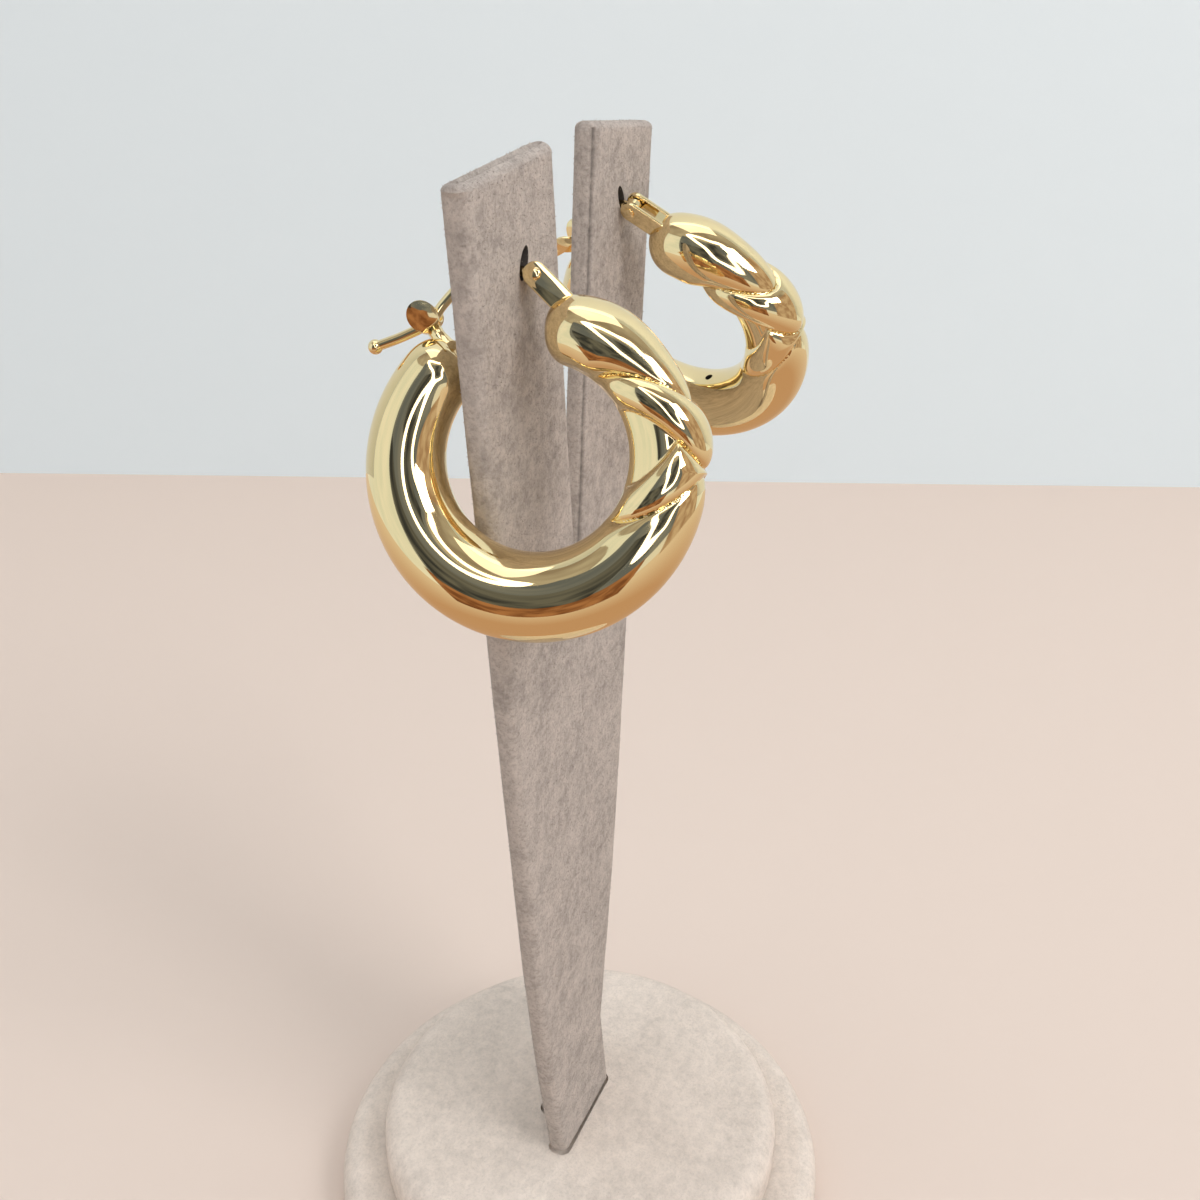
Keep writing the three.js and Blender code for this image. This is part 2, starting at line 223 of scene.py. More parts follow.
def skin(name, loops):
    """Closed skin over a list of closed loops, with a fan to a middle point at each end."""
    rows, around = len(loops), len(loops[0])
    points = np.asarray(loops, float).reshape(-1, 3)
    ends = [points[:around].mean(0), points[-around:].mean(0)]
    faces = skin_faces(rows, around)
    start, last, top = rows * around, rows * around + 1, (rows - 1) * around
    for i in range(around):
        j = (i + 1) % around
        faces.append((start, j, i))
        faces.append((last, top + i, top + j))
    mesh = mesh_from(name, np.concatenate([points, ends]), faces)
    face_outwards(mesh)
    return mesh


def face_outwards(mesh, merge=1e-7):
    """Merges doubled points and turns all faces outwards."""
    work = bmesh.new()
    work.from_mesh(mesh)
    bmesh.ops.remove_doubles(work, verts=work.verts, dist=merge)
    bmesh.ops.dissolve_degenerate(work, dist=merge, edges=work.edges)
    bmesh.ops.recalc_face_normals(work, faces=work.faces)
    work.to_mesh(mesh)
    work.free()
    mesh.update()


def turned(name, profile, segments):
    """Closed solid turned about Z from a profile of (radius, height) rows that ends on the axis."""
    angles = np.linspace(0, 2 * math.pi, segments, endpoint=False)
    rows = [np.stack([r * np.cos(angles), r * np.sin(angles), 0 * angles + z], 1)
            for r, z in profile[1:-1]]
    return skin(name, rows)


def joined(name, meshes):
    """One mesh from several, which are used up."""
    work = bmesh.new()
    for mesh in meshes:
        work.from_mesh(mesh)
        bpy.data.meshes.remove(mesh)
    result = bpy.data.meshes.new(name)
    work.to_mesh(result)
    work.free()
    result.update()
    return result


def applied(piece):
    """Replaces a piece's mesh by what its modifiers make of it."""
    graph = bpy.context.evaluated_depsgraph_get()
    mesh = bpy.data.meshes.new_from_object(piece.evaluated_get(graph))
    mesh.name = piece.name
    piece.modifiers.clear()
    old, piece.data = piece.data, mesh
    bpy.data.meshes.remove(old)
    return piece


def combine(piece, mesh, operation):
    """Joins `mesh` to a piece, cuts it out of it or keeps what they share."""
    tool = object_from(mesh, "tool")
    cut = piece.modifiers.new("cut", "BOOLEAN")
    cut.operation, cut.solver, cut.object = operation, "EXACT", tool
    applied(piece)
    bpy.data.objects.remove(tool)
    bpy.data.meshes.remove(mesh)
    return piece


def rounded_edges(piece, width):
    bevel = piece.modifiers.new("round", "BEVEL")
    bevel.width, bevel.segments, bevel.angle_limit = width, 3, math.radians(35)
    applied(piece)
    piece.data.shade_smooth()
    piece.data.set_sharp_from_angle(angle=math.radians(50))
    return piece


def finished(piece, material, nodes, body="stand"):
    """Gives a piece its finish and ties it to the frame."""
    if not piece.data.materials:
        piece.data.materials.append(material)
    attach(piece, body)
    if nodes:
        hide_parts(*nodes)
    return piece


# ---------------------------------------------------------------- node trees


def add_node(tree, kind, inputs=None, **settings):
    """Adds a node, sets its settings, and sets or links its inputs."""
    node = tree.nodes.new(kind)
    for name, value in settings.items():
        setattr(node, name, value)
    for name, value in (inputs or {}).items():
        if isinstance(value, bpy.types.NodeSocket):
            tree.links.new(value, node.inputs[name])
        else:
            node.inputs[name].default_value = value
    return node


def shader(name):
    """A new material and its tree, with the ordinary surface shader linked to the output."""
    material = bpy.data.materials.new(name)
    material.use_nodes = True
    tree = material.node_tree
    tree.nodes.clear()
    surface = add_node(tree, "ShaderNodeBsdfPrincipled")
    add_node(tree, "ShaderNodeOutputMaterial", {"Surface": surface.outputs["BSDF"]})
    return material, tree, surface


def grain(tree, place, size, detail=3, roughness=0.5):
    """Noise whose patches are about `size` metres across."""
    return add_node(tree, "ShaderNodeTexNoise", {
        "Vector": place, "Scale": 1 / size, "Detail": detail, "Roughness": roughness}).outputs["Fac"]


def between(tree, value, low, high, to_low, to_high):
    return add_node(tree, "ShaderNodeMapRange", {
        "Value": value, "From Min": low, "From Max": high,
        "To Min": to_low, "To Max": to_high}).outputs["Result"]


def blend(tree, share, first, second):
    """Colour between two others, each of them a colour or a socket."""
    mix = add_node(tree, "ShaderNodeMix", {"Factor": share, 6: first, 7: second}, data_type="RGBA")
    return mix.outputs[2]


def surface_relief(tree, surface, strength, depth, height):
    """Lets a height pattern tilt the light on a surface."""
    bump = add_node(tree, "ShaderNodeBump", {"Strength": strength, "Distance": depth, "Height": height})
    tree.links.new(bump.outputs["Normal"], surface.inputs["Normal"])


def polished_gold(color):
    """Electroformed yellow gold, polished to a mirror: sharp reflections that swim slightly over
    the hand-polished walls, with a faint bloom where it has been touched."""
    material, tree, surface = shader("polished_gold")
    place = add_node(tree, "ShaderNodeTexCoord").outputs["Object"]
    touched = grain(tree, place, 5 * MM, detail=4)
    surface.inputs["Base Color"].default_value = (*color, 1)
    surface.inputs["Metallic"].default_value = 1
    bloom = between(tree, touched, 0.45, 0.75, 0.035, 0.11)
    tree.links.new(bloom, surface.inputs["Roughness"])
    surface_relief(tree, surface, 0.12, 0.05 * MM, grain(tree, place, 3.5 * MM, detail=1))
    return material


def vent_shade_finish():
    """Painted shade for the inside of the vent in the hollow tube: a dark, rough colour that stands for the
    shadow in the hole.
    """
    material, tree, surface = shader("raw_gold_inside")
    surface.inputs["Base Color"].default_value = (*linear("#2A2013"), 1)
    surface.inputs["Roughness"].default_value = 0.8
    place = add_node(tree, "ShaderNodeTexCoord").outputs["Object"]
    surface_relief(tree, surface, 0.4, 0.02 * MM, grain(tree, place, 0.1 * MM))
    return material


def board_core():
    """Painted shade on the walls of the slit in a board: a dark grey, rough colour that stands for the
    shadow inside it.
    """
    material, tree, surface = shader("board_core")
    surface.inputs["Base Color"].default_value = (*linear("#4A4340"), 1)
    surface.inputs["Roughness"].default_value = 1
    place = add_node(tree, "ShaderNodeTexCoord").outputs["Object"]
    surface_relief(tree, surface, 0.6, 0.08 * MM, grain(tree, place, 0.25 * MM))
    return material


def microsuede(name, color, contrast):
    """Brushed microfibre suede: no gloss, cloudy patches where the nap lies one way or the other,
    a fine speckle of single fibres, and seams that hold shadow."""
    material, tree, surface = shader(name)
    place = add_node(tree, "ShaderNodeTexCoord").outputs["Object"]
    clouds = grain(tree, place, 6 * MM, detail=3, roughness=0.6)
    mottle = grain(tree, place, 1.5 * MM, detail=5, roughness=0.72)
    fibres = grain(tree, place, 0.42 * MM, detail=4, roughness=0.75)
    dark = [c * (1 - contrast) for c in color]
    light = [min(1, c * (1 + contrast * 0.55)) for c in color]
    brushed = [*(min(1, c * 1.2) for c in light), 1]
    crevice = [*(c * 0.55 for c in dark), 1]
    seam_shade = [*(c * 0.22 for c in dark), 1]
    cloudy = blend(tree, between(tree, clouds, 0.3, 0.7, 0, 1), (*dark, 1), (*light, 1))
    patched = blend(tree, between(tree, mottle, 0.38, 0.62, 0, contrast * 2.6), cloudy, brushed)
    speckled = blend(tree, between(tree, fibres, 0.34, 0.54, contrast * 1.9, 0), patched, crevice)
    # Painted shade along the seams, read from the seam attribute.
    seam = add_node(tree, "ShaderNodeAttribute", attribute_name="seam").outputs["Fac"]
    shaded = blend(tree, seam, speckled, seam_shade)
    tree.links.new(shaded, surface.inputs["Base Color"])
    surface.inputs["Roughness"].default_value = 0.95
    surface.inputs["Specular IOR Level"].default_value = 0.15
    surface.inputs["Sheen Weight"].default_value = 0.25
    surface.inputs["Sheen Tint"].default_value = (*light, 1)
    surface.inputs["Sheen Roughness"].default_value = 0.5
    height = add_node(tree, "ShaderNodeMath", {0: mottle, 1: fibres}, operation="ADD").outputs[0]
    surface_relief(tree, surface, 0.75, 0.16 * MM, height)
    return material


def plain(name, color):
    """Smooth painted card: even, matt, no pattern of its own but a faint tooth."""
    material, tree, surface = shader(name)
    place = add_node(tree, "ShaderNodeTexCoord").outputs["Object"]
    surface.inputs["Base Color"].default_value = (*color, 1)
    surface.inputs["Roughness"].default_value = 0.9
    surface.inputs["Specular IOR Level"].default_value = 0.2
    surface_relief(tree, surface, 0.1, 0.1 * MM, grain(tree, place, 0.6 * MM))
    return material


def material_named(name, make, *values):
    return bpy.data.materials.get(name) or make(*values)


def gold_finish():
    color = bpy.context.scene.earring_hoops.gold
    return material_named("polished_gold", polished_gold, color)


def suede_finish(part):
    suede = bpy.context.scene.earring_suede
    color, contrast = (suede.board_color, 0.24) if part == "board" else (suede.base_color, 0.12)
    name = f"{part}_microsuede"
    return material_named(name, microsuede, name, color, contrast)


def node_group(name, inputs):
    """An empty geometry tree with named inputs. Returns it with its input and output nodes."""
    tree = bpy.data.node_groups.new(name, "GeometryNodeTree")
    tree.interface.new_socket("Geometry", in_out="INPUT", socket_type="NodeSocketGeometry")
    for label, (kind, value) in inputs.items():
        socket = tree.interface.new_socket(label, in_out="INPUT", socket_type=kind)
        if value is not None:
            socket.default_value = value
    tree.interface.new_socket("Geometry", in_out="OUTPUT", socket_type="NodeSocketGeometry")
    return tree, add_node(tree, "NodeGroupInput"), add_node(tree, "NodeGroupOutput")


def close_group(tree, output, geometry, material):
    """Ends a geometry tree in plain, finished faces."""
    real = add_node(tree, "GeometryNodeRealizeInstances", {"Geometry": geometry})
    smooth = add_node(tree, "GeometryNodeSetShadeSmooth", {"Geometry": real.outputs["Geometry"]})
    dressed = add_node(tree, "GeometryNodeSetMaterial", {
        "Geometry": smooth.outputs["Geometry"], "Material": material})
    tree.links.new(dressed.outputs["Geometry"], output.inputs["Geometry"])


def run_group(piece, tree, values):
    """Runs a geometry tree on a piece with the given inputs and keeps the result as its mesh."""
    modifier = piece.modifiers.new(tree.name, "NODES")
    modifier.node_group = tree
    names = {s.name: s.identifier for s in tree.interface.items_tree if s.in_out == "INPUT"}
    for label, value in values.items():
        modifier[names[label]] = value
    return applied(piece)


# ---------------------------------------------------------------- frames of the hoops


def hoop_frame(side):
    """Places the plane of a hoop: u to the front, v up, n across, in metres. It comes from the
    hinge of its ear wire, whose axis is square to that plane."""
    joint = next(j for j in frame["joints"] if j["name"] == f"wire_{side}_hinge")
    across = -Vector(joint["axis"]).normalized()
    up = across.cross(Vector((0, 1, 0))).normalized()
    up = up if up.z > 0 else -up
    front = up.cross(across)
    spin = Matrix.Rotation(math.radians(HOOP_SPIN[side]), 3, across)
    front, up = spin @ front, spin @ up
    pivot = Vector(joint["pos_m"])
    centre = pivot - (front * PIVOT[0] + up * PIVOT[1]) * MM
    matrix = Matrix((front, up, across)).transposed().to_4x4()
    matrix.translation = centre
    return matrix


def flat_frame(u, v, degrees):
    """In a hoop's plane (mm in, metres out): origin at (u, v), turned by `degrees`."""
    turn = Matrix.Rotation(math.radians(degrees), 4, "Z")
    return Matrix.Translation((u * MM, v * MM, 0)) @ turn


# ---------------------------------------------------------------- hoop


def smooth_max(a, b, rounding=CREASE_ROUNDING):
    share = np.clip(0.5 + 0.5 * (a - b) / rounding, 0, 1)
    return b + (a - b) * share + rounding * share * (1 - share)


def band(offset, height, depth):
    """Round back of a band `offset` degrees away from its middle."""
    x = np.abs(offset) / BAND_HALF_WIDTH
    inside = (height + depth) * np.sqrt(np.clip(1 - x * x, 0, 1)) - depth
    return np.where(x > 1, -depth - (x - 1) * 2 * MM, inside)


def shoulder(offset, crown, depth):
    """Tube that rises out of a crease, `offset` degrees away from the crease."""
    x = 1 - np.clip(offset / SHOULDER, 0, 1)
    risen = crown - (crown + depth) * (1 - np.sqrt(1 - x * x))
    return np.where(offset < 0, -depth + offset * 0.2 * MM, risen)


def knot(ring, tube, s):
    """Relief of the knot over the plain tube. The lower band dives under the upper one."""
    climb = BAND_SLANT * (1 - np.cos(np.radians(tube))) / 2
    upper, lower, depth = UPPER_BAND + climb, LOWER_BAND - climb, s.crease_depth
    lobe = s.lobe_height * np.exp(-(((ring - LOBE_ANGLE) / LOBE_SPREAD) ** 2))
    under = shoulder(upper - BAND_HALF_WIDTH - ring, s.lower_height, depth)
    low_band = np.minimum(band(ring - lower, s.lower_height, depth), under)
    relief = smooth_max(band(ring - upper, s.upper_height, depth), low_band)
    relief = smooth_max(relief, shoulder(ring - upper - BAND_HALF_WIDTH, lobe, depth))
    relief = smooth_max(relief, shoulder(lower - BAND_HALF_WIDTH - ring, 0 * ring, depth))
    relief = smooth_max(relief, -depth * 1.2 + 0 * ring)
    inside = np.abs((tube + 180) % 360 - 180)
    fade = np.clip((inside - FADE[0]) / (FADE[1] - FADE[0]), 0, 1)
    return relief * (1 - fade * fade * (3 - 2 * fade))


def tube_radius(ring, tube, s):
    plain_radius = s.tube_radius - s.tube_taper * (1 - np.cos(np.radians(ring + 90)))
    left = np.minimum(FRONT_END - ring, ring - BACK_END)
    x = 1 - np.clip(left / END_LENGTH, 0, 1)
    share = np.clip(1 - x**END_FULLNESS, 0, 1) ** (1 / END_FULLNESS)
    return (plain_radius + knot(ring, tube, s)) * share


def ring_angles():
    """Ring angles of the rows: closest together across the knot and where the ends round off."""
    ease = 1 - np.cos(np.linspace(0.03, math.pi / 2, 26, endpoint=False))
    back = BACK_END + END_LENGTH * ease
    coarse = np.arange(BACK_END + END_LENGTH, KNOT_FOOT, 1.4)
    fine = np.arange(KNOT_FOOT, FRONT_END - END_LENGTH, 0.4)
    return np.concatenate([back, coarse, fine, FRONT_END - END_LENGTH * ease[::-1]])


def hoop_points(ring, tube, s, matrix):
    """Points of the outer wall at these ring and tube angles, in the stand's frame."""
    radius = tube_radius(ring, tube, s)
    reach = s.ring_radius + radius * np.cos(np.radians(tube))
    local = np.stack([
        reach * np.cos(np.radians(ring)),
        reach * np.sin(np.radians(ring)),
        radius * np.sin(np.radians(tube)),
    ], -1)
    turn, shift = np.array(matrix.to_3x3()), np.array(matrix.translation)
    return local @ turn.T + shift


def make_hoop(side):
    s = bpy.context.scene.earring_hoops
    matrix = hoop_frame(side)
    ring, tube = np.meshgrid(ring_angles(), np.arange(0, 360, 2.5), indexing="ij")
    piece = object_from(skin(f"hoop_skin_{side}", hoop_points(ring, tube, s, matrix)))
    piece.data.materials.append(gold_finish())
    piece.data.materials.append(material_named("raw_gold_inside", vent_shade_finish))
    angle = math.radians(VENT_ANGLE)
    inner = s.ring_radius - s.tube_radius
    vent = turned("vent", [(0, -1), (VENT_RADIUS, -VENT_DEPTH), (VENT_RADIUS, VENT_DEPTH), (0, 1)], 32)
    aim = Vector((math.cos(angle), math.sin(angle), 0)).to_track_quat("Z", "Y").to_matrix().to_4x4()
    vent.transform(matrix @ Matrix.Translation(Vector((math.cos(angle), math.sin(angle), 0)) * inner) @ aim)
    vent.materials.append(gold_finish())
    vent.materials.append(bpy.data.materials["raw_gold_inside"])
    # The vent's walls take the second slot, the painted shade of the hole.
    for face in vent.polygons:
        face.material_index = 1
    combine(piece, vent, "DIFFERENCE")
    piece.data.set_sharp_from_angle(angle=math.radians(60))
    return finished(piece, gold_finish(), [f"hoop_{side}"])


def plate_outline(length, radius, steps=20):
    """Outline of a plate with two round ends, from the origin along +X."""
    angles = np.linspace(-math.pi / 2, math.pi / 2, steps)
    right = [(length + radius * math.cos(a), radius * math.sin(a)) for a in angles]
    left = [(-radius * math.cos(a), -radius * math.sin(a)) for a in angles]
    return right + left


def slab(name, outline, low, high):
    """Flat plate over an outline in XY, between two heights."""
    count = len(outline)
    points = [(x, y, z) for z in (low, high) for x, y in outline]
    faces = [tuple(range(count))[::-1], tuple(range(count, 2 * count))]
    faces += [(i, (i + 1) % count, (i + 1) % count + count, i + count) for i in range(count)]
    mesh = mesh_from(name, points, faces, smooth=False)
    face_outwards(mesh)
    return mesh


def lump(name, radii):
    """Closed egg-shaped drop of solder, radii along X, Y and Z."""
    rows = []
    for lat in np.linspace(-80, 80, 17):
        angles = np.radians(np.arange(0, 360, 12))
        ring = math.cos(math.radians(lat))
        rows.append(np.stack([
            radii[0] * ring * np.cos(angles),
            radii[1] * ring * np.sin(angles),
            0 * angles + radii[2] * math.sin(math.radians(lat)),
        ], 1))
    return skin(name, rows)


def make_fork():
    """Two round-ended cheeks that stand in the hoop's tip, with the solder round their root."""
    du, dv = PIVOT[0] - FORK_ROOT[0], PIVOT[1] - FORK_ROOT[1]
    length, turn = math.hypot(du, dv) * MM, math.degrees(math.atan2(dv, du))
    outline = plate_outline(length, FORK_RADIUS * MM)
    half, slot = FORK_THICKNESS / 2 * MM, FORK_SLOT / 2 * MM
    parts = []
    for low, high in ((-half, -slot), (slot, half)):
        cheek = object_from(slab("cheek", outline, low, high))
        rounded_edges(cheek, 0.16 * MM)
        parts.append(cheek.data.copy())
        bpy.data.objects.remove(cheek)
    square = [(x * 1.1 * MM, y * 1.1 * MM) for x, y in ((-1, -1), (1, -1), (1, 1), (-1, 1))]
    block = slab("block", square, -slot * 1.02, slot * 1.02)
    parts.append(block)
    solder = lump("solder", (1.25 * MM, 1.3 * MM, 1.3 * MM))
    solder.transform(Matrix.Translation((-0.5 * MM, 0, 0)))
    parts.append(solder)
    mesh = joined("fork", parts)
    mesh.transform(flat_frame(*FORK_ROOT, turn))
    return mesh


def make_catch():
    """Saddle with two flared, round ears on a soldered stem. It opens towards +Y before it is
    turned, with the wire along X."""
    cup, plate, flare, rise, outline = 0.62, 0.42, math.radians(34), 2.0, 1.45

    def side_line(radius, sign):
        foot = (sign * radius * math.cos(flare), -radius * math.sin(flare))
        return foot, (foot[0] + sign * rise * math.tan(flare), rise)

    outer = cup + plate
    inner_arc = np.linspace(-flare, flare - math.pi, 20)
    outer_arc = np.linspace(math.pi + flare, 2 * math.pi - flare, 24)
    section = [side_line(cup, 1)[1]]
    section += [(cup * math.cos(a), cup * math.sin(a)) for a in inner_arc]
    section += [side_line(cup, -1)[1], side_line(outer, -1)[1]]
    section += [(outer * math.cos(a), outer * math.sin(a)) for a in outer_arc]
    section += [side_line(outer, 1)[1]]
    trough = slab("trough", [(x * MM, y * MM) for x, y in section], -outline * MM, outline * MM)
    trough.transform(Matrix.Rotation(math.pi / 2, 4, "Y"))
    saddle = object_from(trough)
    disc = slab("disc", [(outline * MM * math.cos(a), outline * MM * math.sin(a))
                         for a in np.linspace(0, 2 * math.pi, 64, endpoint=False)], -6 * MM, 6 * MM)
    disc.transform(Matrix.Translation((0, 0.45 * MM, 0)))
    combine(saddle, disc, "INTERSECT")
    rounded_edges(saddle, 0.1 * MM)
    mesh = saddle.data.copy()
    bpy.data.objects.remove(saddle)
    profile = [(0, 0), (0.8, 0), (0.72, 0.8), (0.95, 1.9), (1.5, 2.9), (0, 2.9)]
    stem = turned("stem", [(r * MM, z * MM) for r, z in profile], 32)
    foot = Matrix.Translation((0, -(cup + plate / 2) * MM, 0))
    stem.transform(foot @ Matrix.Rotation(math.pi / 2, 4, "X"))
    mesh = joined("catch", [mesh, stem])
    mesh.transform(flat_frame(*CATCH, CATCH_FACING - 90))
    return mesh


def make_fittings(side):
    mesh = joined(f"hoop_fittings_{side}", [make_fork(), make_catch()])
    mesh.transform(hoop_frame(side))
    mesh.materials.clear()
    return finished(object_from(mesh), gold_finish(), [f"hoop_{side}"])


# ---------------------------------------------------------------- ear wire and rivets


def through(points, per_span=10):
    """Centripetal Catmull-Rom curve through the points."""
    points = np.asarray(points, float)
    points = np.vstack([2 * points[0] - points[1], points, 2 * points[-1] - points[-2]])
    curve = []
    for p0, p1, p2, p3 in zip(points, points[1:], points[2:], points[3:]):
        t0 = 0.0
        t1 = t0 + np.linalg.norm(p1 - p0) ** 0.5
        t2 = t1 + np.linalg.norm(p2 - p1) ** 0.5
        t3 = t2 + np.linalg.norm(p3 - p2) ** 0.5
        for t in np.linspace(t1, t2, per_span, endpoint=False):
            a1 = (t1 - t) / (t1 - t0) * p0 + (t - t0) / (t1 - t0) * p1
            a2 = (t2 - t) / (t2 - t1) * p1 + (t - t1) / (t2 - t1) * p2
            a3 = (t3 - t) / (t3 - t2) * p2 + (t - t2) / (t3 - t2) * p3
            b1 = (t2 - t) / (t2 - t0) * a1 + (t - t0) / (t2 - t0) * a2
            b2 = (t3 - t) / (t3 - t1) * a2 + (t - t1) / (t3 - t1) * a3
            curve.append((t2 - t) / (t2 - t1) * b1 + (t - t1) / (t2 - t1) * b2)
    curve.append(points[-2])
    return np.array(curve)


def wire_group():
    """Round wire along a line of edges, with a ball on its far end."""
    tree, given, output = node_group("drawn_wire", {
        "Radius": ("NodeSocketFloat", 0.5 * MM),
        "Ball": ("NodeSocketFloat", 0.74 * MM),
        "Material": ("NodeSocketMaterial", None)})
    line = add_node(tree, "GeometryNodeMeshToCurve", {"Mesh": given.outputs["Geometry"]}).outputs["Curve"]
    section = add_node(tree, "GeometryNodeCurvePrimitiveCircle", {
        "Resolution": 28, "Radius": given.outputs["Radius"]}).outputs["Curve"]
    rod = add_node(tree, "GeometryNodeCurveToMesh", {
        "Curve": line, "Profile Curve": section, "Fill Caps": True}).outputs["Mesh"]
    far_end = add_node(tree, "GeometryNodeCurveEndpointSelection", {"Start Size": 0, "End Size": 1})
    ball = add_node(tree, "GeometryNodeMeshUVSphere", {
        "Segments": 36, "Rings": 22, "Radius": given.outputs["Ball"]}).outputs["Mesh"]
    tip = add_node(tree, "GeometryNodeInstanceOnPoints", {
        "Points": line, "Selection": far_end.outputs["Selection"], "Instance": ball}).outputs["Instances"]
    both = add_node(tree, "GeometryNodeJoinGeometry")
    tree.links.new(rod, both.inputs["Geometry"])
    tree.links.new(tip, both.inputs["Geometry"])
    close_group(tree, output, both.outputs["Geometry"], given.outputs["Material"])
    return tree


def make_wire(side):
    s = bpy.context.scene.earring_wires
    route = through(WIRE_ROUTE) * MM
    mesh = bpy.data.meshes.new(f"wire_{side}")
    points = [(u, v, 0) for u, v in route]
    mesh.from_pydata(points, [(i, i + 1) for i in range(len(points) - 1)], [])
    piece = object_from(mesh)
    tree = bpy.data.node_groups.get("drawn_wire") or wire_group()
    run_group(piece, tree, {"Radius": s.radius, "Ball": s.ball, "Material": gold_finish()})
    r, hole, half, edge = s.eye, s.rivet + RIVET_CLEARANCE * MM, EYE_THICKNESS / 2 * MM, 0.14 * MM
    profile = [(hole, -half), (r - edge, -half), (r, -half + edge),
               (r, half - edge), (r - edge, half), (hole, half)]
    angles = np.linspace(0, 2 * math.pi, 48, endpoint=False)
    points = [(a * math.cos(t), a * math.sin(t), z) for t in angles for a, z in profile]
    around, last = len(profile), (len(angles) - 1) * len(profile)
    closing = [(last + i, last + (i + 1) % around, (i + 1) % around, i) for i in range(around)]
    eye = mesh_from("eye", points, skin_faces(len(angles), around) + closing)
    face_outwards(eye)
    eye.set_sharp_from_angle(angle=math.radians(40))
    eye.transform(flat_frame(*PIVOT, 0))
    rod = piece.data.copy()
    face_outwards(rod)
    bpy.data.objects.remove(piece)
    mesh = joined(f"wire_skin_{side}", [rod, eye])
    mesh.materials.clear()
    mesh.transform(hoop_frame(side))
    return finished(object_from(mesh), gold_finish(), [f"ear_wire_{side}"], body=f"wire_{side}")


def rivet_group():
    """A rivet on each point, turned along the point's axis."""
    tree, given, output = node_group("rivets", {
        "Rivet": ("NodeSocketObject", None), "Material": ("NodeSocketMaterial", None)})
    shape = add_node(tree, "GeometryNodeObjectInfo", {"Object": given.outputs["Rivet"]})
    axis = add_node(tree, "GeometryNodeInputNamedAttribute", {"Name": "axis"}, data_type="FLOAT_VECTOR")
    aim = add_node(tree, "FunctionNodeAlignRotationToVector", {
        "Vector": axis.outputs["Attribute"]}, axis="Z")
    placed = add_node(tree, "GeometryNodeInstanceOnPoints", {
        "Points": given.outputs["Geometry"], "Instance": shape.outputs["Geometry"],
        "Rotation": aim.outputs["Rotation"]}).outputs["Instances"]
    close_group(tree, output, placed, given.outputs["Material"])
    return tree


def make_rivets():
    s = bpy.context.scene.earring_wires
    half, (head, dome) = (FORK_THICKNESS / 2 + RIVET_CLEARANCE) * MM, (v * MM for v in RIVET_HEAD)
    arc = [(head * math.cos(a), half + dome * math.sin(a)) for a in np.linspace(0, 1.45, 9)]
    profile = [(0, -half - dome)] + [(r, -z) for r, z in arc[::-1]] + [(s.rivet, -half), (s.rivet, half)]
    profile += arc + [(0, half + dome)]
    shape = object_from(turned("rivet", profile, 36))
    points = bpy.data.meshes.new("hinge_rivets")
    places = [hoop_frame(side) for side in SIDES]
    points.from_pydata([m @ Vector((PIVOT[0] * MM, PIVOT[1] * MM, 0)) for m in places], [], [])
    axis = points.attributes.new("axis", "FLOAT_VECTOR", "POINT")
    axis.data.foreach_set("vector", [c for m in places for c in m.col[2][:3]])
    piece = object_from(points)
    run_group(piece, rivet_group(), {"Rivet": shape, "Material": gold_finish()})
    bpy.data.objects.remove(shape)
    return finished(piece, gold_finish(), [f"hinge_rivet_{side}" for side in SIDES])


# ---------------------------------------------------------------- boards


def board_axis(row, s):
    """Middle of a board at fraction s of its length (mm, from the base's top), and its lean."""
    bent = np.minimum(s, BEND_ENDS)
    spread = row["lean"] * s + BEND * (bent - bent * bent / (2 * BEND_ENDS))
    lean = (row["lean"] + BEND * (1 - bent / BEND_ENDS)) * np.minimum(1, s / 0.04) * row["side"]
    face = row["face_foot"] + (row["face_top"] - row["face_foot"]) * s
    x = row["side"] * (BOARD_FOOT + BOARD_LENGTH * spread)
    return x, face + BOARD_THICKNESS / 2, BOARD_LENGTH * s * math.cos(row["lean"]), lean


def rounded_outline(width, depth, corner, face_steps=30, edge_steps=3, corner_steps=8):
    """Closed outline of a rounded rectangle. Each point has its corner's number and how far it is
    round that corner, 0 to 1, or past it on the next side, 1 to 2."""
    outline, flags = [], []
    half = (width / 2 - corner, depth / 2 - corner)
    quarters = [(1, 1), (-1, 1), (-1, -1), (1, -1)]

    def on_corner(k, degrees):
        angle, (x, y) = math.radians(degrees), quarters[k % 4]
        return x * half[0] + corner * math.cos(angle), y * half[1] + corner * math.sin(angle)

    for k in range(4):
        for i in range(corner_steps):
            outline.append(on_corner(k, 90 * k + 90 * i / corner_steps))
            flags.append((k, i / corner_steps))
        start, goal = on_corner(k, 90 * (k + 1)), on_corner(k + 1, 90 * (k + 1))
        steps = face_steps if k % 2 == 0 else edge_steps
        for i in range(steps):
            t = i / steps
            outline.append((start[0] + (goal[0] - start[0]) * t, start[1] + (goal[1] - start[1]) * t))
            flags.append((k, 1 + t))
    return np.array(outline), flags


